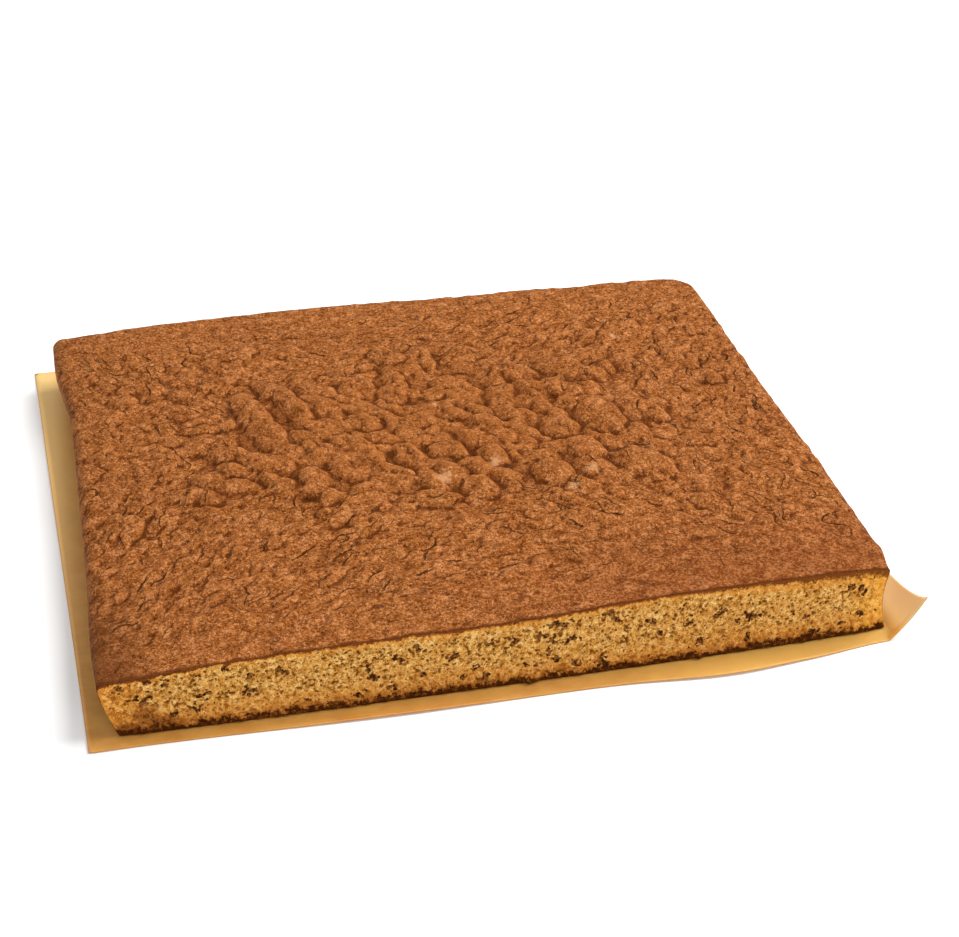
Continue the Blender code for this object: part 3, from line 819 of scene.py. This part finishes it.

# %% Pores, painted glints, painted highlights and a few deeper browned ones
pore_share = skin.step(skin.cells(spot, 2.3), 0.22, 0.10)
skin.lay(pore_share * 0.5, (72, 36, 12))
# Painted glints: tiny pale specks where raised grains catch the light
painted_glint_share = skin.step(skin.cells(spot, 1.9), 0.24, 0.12) * skin.step(fleck, 0.50, 0.58)
skin.lay(painted_glint_share * 0.6, (212, 150, 102))
# Painted highlights on the smooth skin of some pillows
highlight = skin.stored("painted_highlight") + (fleck - 0.5) * 0.9 + (blotch - 0.5) * 0.5
skin.lay(skin.step(highlight, 0.2, 1.3) * 0.7, (224, 170, 122))
skin.lay(skin.step(skin.cells(spot, 17.0) + blotch * 0.10, 0.20, 0.12) * 0.5, (84, 54, 38))
print("the skin has its pores and spots")

# %% Light and dark parts of the crust
# Painted light: standing skin is lighter. The tray sides are greyer and darkest at the foot
skin.lay(skin.step(skin.stored("crease"), -0.15, -0.9) * 0.25, (182, 112, 52))
side_skin = skin.mix(skin.step(tone, 0.42, 0.60), (108, 66, 34), (170, 114, 66))
skin.lay((1.0 - skin.stored("top")) * 0.75, side_skin)
skin.lay(skin.step(skin.stored("below") + blotch * 0.2, 0.85, 1.1) * 0.7, (68, 34, 12))

# Painted shade: the left rim, and most of all the front left corner, is darkened for the shade that falls on
# it
left_painted_shade = skin.step(x, -165.0, -197.0) * (skin.step(y, -70.0, -165.0) * 0.85 + 0.15)
skin.lay(left_painted_shade * 0.66, (86, 45, 19))
# Darker at the front right of the top
skin.lay(front_right * 0.45, (120, 62, 28))

# The knife has opened the skin: dark at the top edge, golden down the ends
cut_share = skin.step(skin.stored("cut") + (fleck - 0.5) * 1.3, 0.25, 0.85)
cut_golden = skin.mix(skin.step(tone, 0.42, 0.58), (122, 66, 20), (218, 152, 72))
skin.lay(cut_share * 0.82, skin.mix(skin.stored("golden"), (86, 41, 13), cut_golden))
print("the crust's colour is mixed")

# %% Fine relief of the crust
cobble = skin.cells(stretched, 4.6)
grain_height = grit * 0.30 + (fleck * 0.85 - cobble * cobble * 1.1) * (1.0 - middle * 0.35) + blotch * 0.8
crack_height = lip_share * 0.4 - crack_share * 0.8
skin.relief(grain_height + crack_height + ledge * patches * 0.45 - hairline * 0.5 - pore_share * 0.35)
skin.roughness(0.66 + fleck * 0.12 - skin.step(skin.stored("valley"), -0.1, -0.8) * 0.20)
make_piece("crust", crust, skin, "cake", 75.0)

# %% [markdown]
# ## The crumb
# The knife has opened the sponge: a pale porous crumb with ground nuts in it, browner towards
# the skin and the tray. Its face fills the crust's pocket. It is a fine grid whose pores, lumps
# and ragged foot are moved in and out, because at this size they catch light and cast small
# shadows that a bump alone can't. The nuts are drawn as seeded clusters on the same grid.

# %% The grid of the face
FACE_STEP = 0.54 * MM
face_columns = round(CAKE_WIDTH / FACE_STEP)
face_rows = round(0.040 / FACE_STEP)
share_along = np.linspace(0.0, 1.0, face_columns + 1)
share_up = np.linspace(0.0, 1.0, face_rows + 1)
rim_height = np.interp(share_along, (np.array(columns) - LEFT) / CAKE_WIDTH, top_z[0] - CAKE_BASE)
FACE_OVERLAP = 0.15 * MM
face_home = LEFT + SKIN_EDGE - FACE_OVERLAP + share_along * (CAKE_WIDTH - 2 * (SKIN_EDGE - FACE_OVERLAP))
face_x = np.zeros((face_rows + 1, face_columns + 1))
face_y, face_z = face_x.copy(), face_x.copy()
for number, share in enumerate(share_up):
    low = CAKE_BASE + FOOT_EDGE - FACE_OVERLAP
    high = CAKE_BASE + rim_height - SKIN_EDGE + FACE_OVERLAP
    face_z[number] = low + (high - low) * share
    depth = float(np.clip(1.0 - share, 0.0, 1.0))
    face_x[number], face_y[number] = outline(face_home, FRONT, depth)
under = (CAKE_BASE + rim_height - face_z) / MM
over = (face_z - CAKE_BASE) / MM
beside = (np.minimum(face_home - LEFT, RIGHT - face_home) / MM) * np.ones_like(face_x)
print("the face has", face_x.size, "places")

# %% Pores, nuts and lumps
PORES, NUTS, NUT_CLUSTERS = 4600, 330, 66
draw = random.Random(31)
fine_noise = noise_over(face_x, face_z, 1.3 * MM, 2.9)
wide_noise = noise_over(face_x, face_z, 5.0 * MM, 5.5)


def stamp(values, centre_x, centre_z, half_long, half_wide, turn, strength):
    """Press one oval mark into an array of the face, keeping the strongest."""
    rows, columns = window(face_x, face_z, centre_x, centre_z, max(half_long, half_wide) + 1.5 * MM)
    off_x = ragged_face_x[rows, columns] - centre_x
    off_z = ragged_face_z[rows, columns] - centre_z
    along = (off_x * math.cos(turn) + off_z * math.sin(turn)) / half_long
    across = (off_z * math.cos(turn) - off_x * math.sin(turn)) / half_wide
    mark = strength * np.clip(1.0 - along ** 2 - across ** 2, 0.0, 1.0) ** 0.5
    values[rows, columns] = np.maximum(values[rows, columns], mark)


ragged_face_x = face_x + 0.45 * MM * noise_over(face_x, face_z, 1.4 * MM, 6.6)
ragged_face_z = face_z + 0.45 * MM * noise_over(face_x, face_z, 1.4 * MM, 9.1)
pore_depth = np.zeros_like(face_x)
for _ in range(PORES):
    size = draw.choice((0.3, 0.35, 0.4, 0.5, 0.8)) * MM * draw.uniform(0.8, 1.25)
    stamp(pore_depth, draw.uniform(LEFT, RIGHT), draw.uniform(0.003, 0.040), size * draw.uniform(1.0, 1.7),
          size, draw.gauss(0.0, 0.7), draw.uniform(0.35, 1.0))
nut = np.zeros_like(face_x)
for number in range(NUTS):
    middle_x, middle_z = draw.uniform(LEFT + 0.006, RIGHT - 0.006), draw.uniform(0.004, 0.036)
    large = number < NUT_CLUSTERS
    for _ in range(draw.randint(3, 7) if large else 1):
        size = draw.uniform(0.55, 1.2) * MM if large else draw.uniform(0.3, 0.6) * MM
        stamp(nut, middle_x + draw.gauss(0.0, 1.6) * MM, middle_z + draw.gauss(0.0, 1.1) * MM,
              size * draw.uniform(1.1, 2.0), size, draw.gauss(0.0, 0.8), draw.uniform(0.75, 1.0))
print("pores cover", round(float((pore_depth > 0.2).mean()), 3), "and nuts",
      round(float((nut > 0.3).mean()), 3), "of the face")

# %% Relief of the face
soft_edge = ramp(under, (1.5, 5.0)) * ramp(over, (0.0, 1.0))
lumps = 0.42 * noise_over(face_x, face_z, 4.2 * MM, 1.7) + 0.36 * noise_over(face_x, face_z, 1.7 * MM, 3.9)
out = lumps * (0.4 + 0.6 * soft_edge) - 0.85 * pore_depth * (0.3 + 0.7 * soft_edge) + 0.15 * nut
foot_noise = 0.7 * wide_noise + 0.5 * noise_over(face_x, face_z, 2.2 * MM, 0.4)
out = out + ramp(over, (4.0, 0.5)) * (foot_noise + 0.35)
LOOSE_LUMPS = ((0.0086, 2.6, 2.4), (0.0970, 2.2, 2.0), (-0.1180, 2.0, 1.1), (0.1530, 2.4, 1.0))
for lump_x, width, reach in LOOSE_LUMPS:
    nearness = ((face_x - lump_x) / (width * MM)) ** 2 + ((over - 1.6) / 1.9) ** 2
    out = out + reach * np.exp(-nearness)
border = np.ones_like(face_x)
border[0], border[-1], border[:, 0], border[:, -1] = 0.0, 0.0, 0.0, 0.0
out = np.maximum(out, -1.25) * border - 0.25 * (1.0 - border)
print("the face is moved by", round(float(out.min()), 2), "to", round(float(out.max()), 2), "mm")

# %% Browning of the face
# The band under the skin is thicker on the right, the dark foot thicker on the left
along = face_x / CAKE_WIDTH + 0.5
band_depth = 1.3 + 0.6 * ramp(along, (0.0, 0.45)) + 3.0 * ramp(along, (0.70, 0.97))
band = (under + 1.0 * fine_noise + 1.3 * wide_noise) / band_depth
foot_depth = 3.1 - 0.3 * ramp(along, (0.25, 0.60)) + 0.5 * ramp(along, (0.70, 0.90))
foot = (over + 1.5 * fine_noise + 1.9 * wide_noise) / foot_depth
BURNT = ((-0.180, 10.0, 7.0, 6.5), (-0.171, 5.0, 9.0, 5.0), (-0.188, 4.0, 7.0, 4.5), (-0.108, 4.0, 2.2, 1.6))
burnt = np.zeros_like(face_x)
for burnt_x, burnt_over, half_long, half_high in BURNT:
    nearness = ((face_x - burnt_x) / (half_long * MM)) ** 2 + ((over - burnt_over) / half_high) ** 2
    burnt = np.maximum(burnt, np.exp(-nearness) * (1.0 + 0.9 * fine_noise))
print("the band under the skin is", round(float(band_depth.min()), 1), "to",
      round(float(band_depth.max()), 1), "mm deep")

# %% Face to slab
CRUMB_DEPTH = 3.0 * MM
carried = {"band": band, "foot": foot, "burnt": burnt, "beside": beside, "pore": pore_depth, "nut": nut}
crumb, layers, places = fresh_grid(face_x.shape, carried)
for vertex, place in places.items():
    vertex.co = (face_x[place], face_y[place] - out[place] * MM, face_z[place])
    for name, values in carried.items():
        vertex[layers[name]] = values[place]
bmesh.ops.translate(crumb, verts=extrude_border(crumb), vec=(0.0, CRUMB_DEPTH, 0.0))
bmesh.ops.contextual_create(crumb, geom=open_border(crumb))
bmesh.ops.recalc_face_normals(crumb, faces=crumb.faces)
print("the crumb is a slab of", len(crumb.faces), "faces")


def crumb_island(face):
    if len(face.verts) > 4:
        return lambda co: (0.01 + 0.5 * (co.x - LEFT), 0.24 + 0.5 * co.z)
    if abs(face.normal.y) < 0.3 and any(edge.is_boundary for edge in face.edges):
        return lambda co: (0.01 + 0.5 * (co.x - LEFT), 0.30 + co.y - FRONT)
    return lambda co: (0.01 + 0.98 * (co.x - LEFT), 0.02 + 4.0 * co.z)


lay_flat(crumb, crumb_island, 0.42)

# %% [markdown]
# ## Finish of the crumb
# The colour follows how far a place is under the skin, over the foot and from the ends, which the
# mesh carries in millimetres: a dark line of skin, a golden band, then the pale sponge, and a
# dark ragged line where it stood on the tray.

# %% Sponge
sponge = Finish("carrot cake crumb", roughness=0.9, specular=0.01)
spot = sponge.place()
x = sponge.split(spot)[0]
tiny = sponge.clouds(spot, 0.6, 2.0, 0.6)
small = sponge.clouds(spot, 2.5, 3.0, 0.6)
large = sponge.clouds(spot, 10.0, 2.0)
grain = tiny * 0.42 + small * 0.58


def grain_light_and_shade(low, high, dark, light):
    """Painted shade and light on the grain: dark in its hollows and light on its bumps."""
    return sponge.mix(sponge.step(grain, low, high), dark, light)


# Painted shade and light over the crumb's grain, darker in its hollows and lighter on its bumps
sponge.colour(grain_light_and_shade(0.39, 0.49, (134, 78, 18), (202, 146, 71)))
sponge.lay(sponge.step(grain, 0.50, 0.60), (238, 196, 122))
sponge.lay(sponge.step(large, 0.46, 0.64) * 0.35, (192, 130, 52))

# Pores: finer ones, and the ones pressed into the mesh
pinhole_share = sponge.step(sponge.cells(spot, 1.25), 0.26, 0.12) * sponge.step(small, 0.44, 0.54)
sponge.lay(pinhole_share * 0.85, (100, 50, 7))
sponge.lay(sponge.step(sponge.stored("pore") + tiny * 0.6, 0.45, 1.0) * 0.9, (96, 47, 6))
print("the sponge has its pores")

# %% Golden towards the ends, the foot and the skin
over_foot = sponge.stored("foot") + (tiny - 0.5) * 1.2 + (small - 0.5) * 2.0
under_skin = sponge.stored("band") + (tiny - 0.5) * 1.2 + (small - 0.5) * 1.4
sponge.lay(sponge.step(sponge.stored("beside") + (small - 0.5) * 5.0, 4.5, 1.0) * 0.7, (204, 132, 48))
sponge.lay(sponge.step(over_foot, 5.5, 2.0) * 0.38, (206, 132, 48))
sponge.lay(sponge.step(over_foot, 2.6, 1.1) * 0.8, (158, 92, 30))
sponge.lay(sponge.step(under_skin, 2.4, 1.1) * 0.62, (216, 142, 54))
left_end = sponge.step(x + (small - 0.5) * 40.0, -166.0, -194.0)
sponge.lay(left_end * 0.6, grain_light_and_shade(0.42, 0.58, (164, 92, 28), (236, 166, 72)))
right_end = sponge.step(x + (small - 0.5) * 24.0, 172.0, 196.0)
sponge.lay(right_end * 0.6, grain_light_and_shade(0.40, 0.56, (216, 142, 54), (250, 184, 74)))
print("the sponge is golden at its edges")

# %% Nuts, and the brown edges of the cut
nut_share = sponge.step(sponge.stored("nut") + (tiny - 0.5) * 0.7, 0.25, 0.42)
nut_mottle = sponge.step(sponge.clouds(spot, 1.6, 2.0), 0.44, 0.58)
sponge.lay(nut_share, sponge.mix(nut_mottle, (58, 31, 10), (128, 82, 40)))
sponge.lay(sponge.step(under_skin, 1.3, 0.5) * 0.93, (104, 50, 18))
burnt_edge = sponge.stored("burnt") + (tiny - 0.5) * 1.4 + (small - 0.5) * 1.4
sponge.lay(sponge.step(burnt_edge, 0.25, 0.75) * 0.9, grain_light_and_shade(0.44, 0.56, (78, 38, 12), (150, 86, 34)))
sponge.lay(sponge.step(over_foot, 1.4, 0.8), grain_light_and_shade(0.50, 0.62, (64, 31, 8), (122, 68, 26)))
sponge.relief(tiny * 0.6 + small * 0.3 - pinhole_share * 0.3)
make_piece("crumb", crumb, sponge, "cake", 80.0)

# %% [markdown]
# ## The baking paper
# One sheet lies under the cake and reaches past it, wavy in front and on the left and curled up
# on the right. It is a grid moved to the sheet's height and given its thickness by Solidify, as
# a real sheet has two sides. The same sizes as on the solid place it, on a finer grid.

# %% Paper sizes
PAPER_THICKNESS = 0.4 * MM
FOOT_REACH = 0.0052        # how far the foot of the cut stands out in front
FRONT_MARGIN, FRONT_MARGIN_GAIN, FRONT_MARGIN_SWELL = 0.0098, 0.0053, 0.0055
LEFT_MARGIN, LEFT_MARGIN_GAIN, BACK_MARGIN = 0.0075, 0.0125, 0.020
CORNER_SLANT = 0.0035      # the sheet's front right corner is folded a little slanting
FLAP_REACH, FLAP_REACH_LOSS = 0.0145, 0.0055
FLAP_LIFT, FLAP_FRONT_LIFT, FLAP_FALL_LENGTH = 0.0080, 0.0160, 0.023
WAVE_HEIGHT = 0.0011


def flap_crease(y):
    return RIGHT - CORNER_SLANT * ease((FRONT - FOOT_REACH - y) / 0.005)


def paper_lift(x, y):
    """Height of the sheet: flat under the cake, curled on the right."""
    crease = flap_crease(y)
    behind = y - FRONT + FRONT_MARGIN
    lift = FLAP_LIFT + FLAP_FRONT_LIFT * np.exp(-behind / FLAP_FALL_LENGTH)
    share = np.clip((x - crease) / (RIGHT + FLAP_REACH - crease), 0.0, None)
    curl = lift * (0.8 * share ** 1.1 + 0.2 * share ** 3)
    outside = np.maximum.reduce([LEFT - x, FRONT - FOOT_REACH - y, y - BACK - BACK_BOW, np.zeros_like(x)])
    wave = 0.5 + 0.5 * np.sin(37.0 * x + 23.0 * y + 1.7)
    return np.where(x > crease, curl, WAVE_HEIGHT * wave * ease(outside / 0.012))


def front_margin(along):
    margin = FRONT_MARGIN + FRONT_MARGIN_GAIN * ramp(along, (0.0, 0.4))
    margin = margin + FRONT_MARGIN_SWELL * np.exp(-((along - 0.77) / 0.11) ** 2)
    return margin - CORNER_SLANT * ramp(along, (0.88, 1.0))


# %% Paper grid
margin_shares = np.linspace(0.0, 1.0, 9)
inner_shares = np.linspace(0.0, 1.0, 91)
flap_shares = np.linspace(0.0, 1.0, 25)
paper_columns = [("margin", share) for share in margin_shares]
paper_columns += [("middle", share) for share in inner_shares[1:-1]]
paper_columns += [("flap", share) for share in flap_shares]
paper_rows = [("front", share) for share in np.linspace(0.0, 1.0, 11)]
paper_rows += [("middle", share ** 1.3) for share in inner_shares[1:-1]]
paper_rows += [("back", share) for share in margin_shares]


def paper_place(column, row):
    zone, share = paper_columns[column]
    row_zone, row_share = paper_rows[row]
    along = {"margin": 0.0, "middle": share, "flap": 1.0}[zone]
    if row_zone == "front":
        y = FRONT - front_margin(along) * (1.0 - row_share)
    elif row_zone == "middle":
        y = FRONT + CAKE_DEPTH * row_share
    else:
        y = BACK + BACK_MARGIN * row_share
    away = (y - FRONT) / CAKE_DEPTH
    inner_left = LEFT + LEFT_UNDERCUT
    if zone == "margin":
        outer_left = LEFT - (LEFT_MARGIN + LEFT_MARGIN_GAIN * away)
        return outer_left + (inner_left - outer_left) * share, y
    if zone == "middle":
        return inner_left + (RIGHT - inner_left) * share, y
    crease = flap_crease(y)
    reach = FLAP_REACH - FLAP_REACH_LOSS * ramp(away, (-0.025, 0.475))
    return crease + (RIGHT + reach - crease) * share, y


paper, layers, places = fresh_grid((len(paper_rows), len(paper_columns)), ("edge",))
for vertex, (row, column) in places.items():
    x, y = (float(value) for value in paper_place(column, row))
    vertex.co = (x, y, float(paper_lift(np.array(x), np.array(y))))
    vertex[layers["edge"]] = 1.0 if vertex.is_boundary else 0.0
lay_flat(paper, lambda face: lambda co: (0.05 + co.x - LEFT, 0.05 + co.y - FRONT), 0.50)
print("the paper's grid has", len(paper.verts), "vertices")

# %% [markdown]
# ## Finish of the paper
# Brown baking paper is a calendered sheet: smooth, a little shiny, with faint long fibres and
# cloudy patches where it is thicker. Its colour is painted paler on the curl, for light shining
# through it, and on the left margin, over the cake's shadow, and painted lighter on the right.

# %% Paper
sheet = Finish("brown baking paper", roughness=0.5, specular=0.3)
sheet.shader.inputs["Subsurface Weight"].default_value = 0.7
sheet.shader.inputs["Subsurface Radius"].default_value = (1.0, 0.75, 0.5)
sheet.shader.inputs["Subsurface Scale"].default_value = 2.0 * MM
spot = sheet.place()
x, y, z = sheet.split(spot)
fibres = sheet.clouds(sheet.join(x * 0.10, y * 1.0, z), 1.6, 3.0, 0.6)
clouding = sheet.clouds(spot, 16.0, 3.0, 0.55)
sheet.colour(sheet.mix(sheet.step(clouding, 0.35, 0.65), (190, 132, 60), (201, 144, 69)))
sheet.lay(sheet.step(fibres, 0.50, 0.75) * 0.35, (212, 158, 86))

# Painted light: lighter on the right in front, and paler on the curl, for light shining through it, and on
# the left margin, over the cake's shadow; dark where it was cut
sheet.lay(sheet.step(x, 20.0, 120.0) * 0.7, (207, 158, 78))
sheet.lay(sheet.step(x, 200.0, 208.0) * 0.85, (240, 204, 160))
sheet.lay(sheet.step(x + y * 0.12, 184.0, 192.0) * sheet.step(x, 198.0, 206.0) * 0.6, (232, 190, 156))
sheet.lay(sheet.step(x, -198.0, -214.0) * sheet.step(y, -200.0, 120.0), (252, 190, 120))
sheet.lay(sheet.step(sheet.stored("edge"), 0.8, 1.0) * 0.7, (128, 88, 46))
sheet.relief(fibres * 0.03 + sheet.clouds(spot, 6.0, 2.0) * 0.25)
sheet.roughness(0.46 + clouding * 0.12)
paper_piece = make_piece("paper", paper, sheet, "baking_paper", 50.0)
thickness = paper_piece.modifiers.new("thickness", "SOLIDIFY")
thickness.thickness = PAPER_THICKNESS
thickness.offset = 1.0

print("the paper is", PAPER_THICKNESS / MM, "mm thick")

# %% [markdown]
# ## Floor and light
# The photograph was taken on white, with a large soft light high on the right and paler light
# from all around, so the floor is a plain near-white sheet and the lights are large areas.

# %% Floor
FLOOR_SIZE = 4.0
floor = bmesh.new()
bmesh.ops.create_grid(floor, x_segments=1, y_segments=1, size=FLOOR_SIZE)
bmesh.ops.translate(floor, verts=floor.verts, vec=(0.0, 0.0, -0.2 * MM))
floor_mesh = bpy.data.meshes.new("floor")
floor.to_mesh(floor_mesh)
floor.free()
floor_finish = Finish("plain floor", roughness=0.9, specular=0.1)
floor_finish.colour((0.92, 0.92, 0.92, 1.0))
floor_mesh.materials.append(floor_finish.material)
floor_piece = bpy.data.objects.new("floor", floor_mesh)
bpy.context.scene.collection.objects.link(floor_piece)


# %% Lights
def softbox(name, place, size, watts, tint):
    """A square area light that faces the cake."""
    lamp = bpy.data.lights.new(name, "AREA")
    lamp.size = size
    lamp.energy = watts
    lamp.color = tint
    box = bpy.data.objects.new(name, lamp)
    box.location = place
    box.rotation_euler = (Vector((0.0, 0.0, 0.02)) - Vector(place)).to_track_quat("-Z", "Y").to_euler()
    bpy.context.scene.collection.objects.link(box)
    print(name, "of", watts, "watts")


softbox("main light", (1.60, 0.22, 2.30), 1.5, 88.0, (1.0, 0.99, 0.97))
softbox("front light", (0.40, -2.3, 1.25), 1.5, 21.0, (1.0, 0.99, 0.97))
softbox("back light", (-1.5, 1.2, 1.5), 1.2, 11.0, (1.0, 0.99, 0.97))
world = bpy.data.worlds.new("studio")
world.use_nodes = True
world.node_tree.nodes["Background"].inputs["Color"].default_value = (1.0, 1.0, 1.0, 1.0)
world.node_tree.nodes["Background"].inputs["Strength"].default_value = 0.55
bpy.context.scene.world = world
bpy.context.scene.view_settings.view_transform = "Standard"
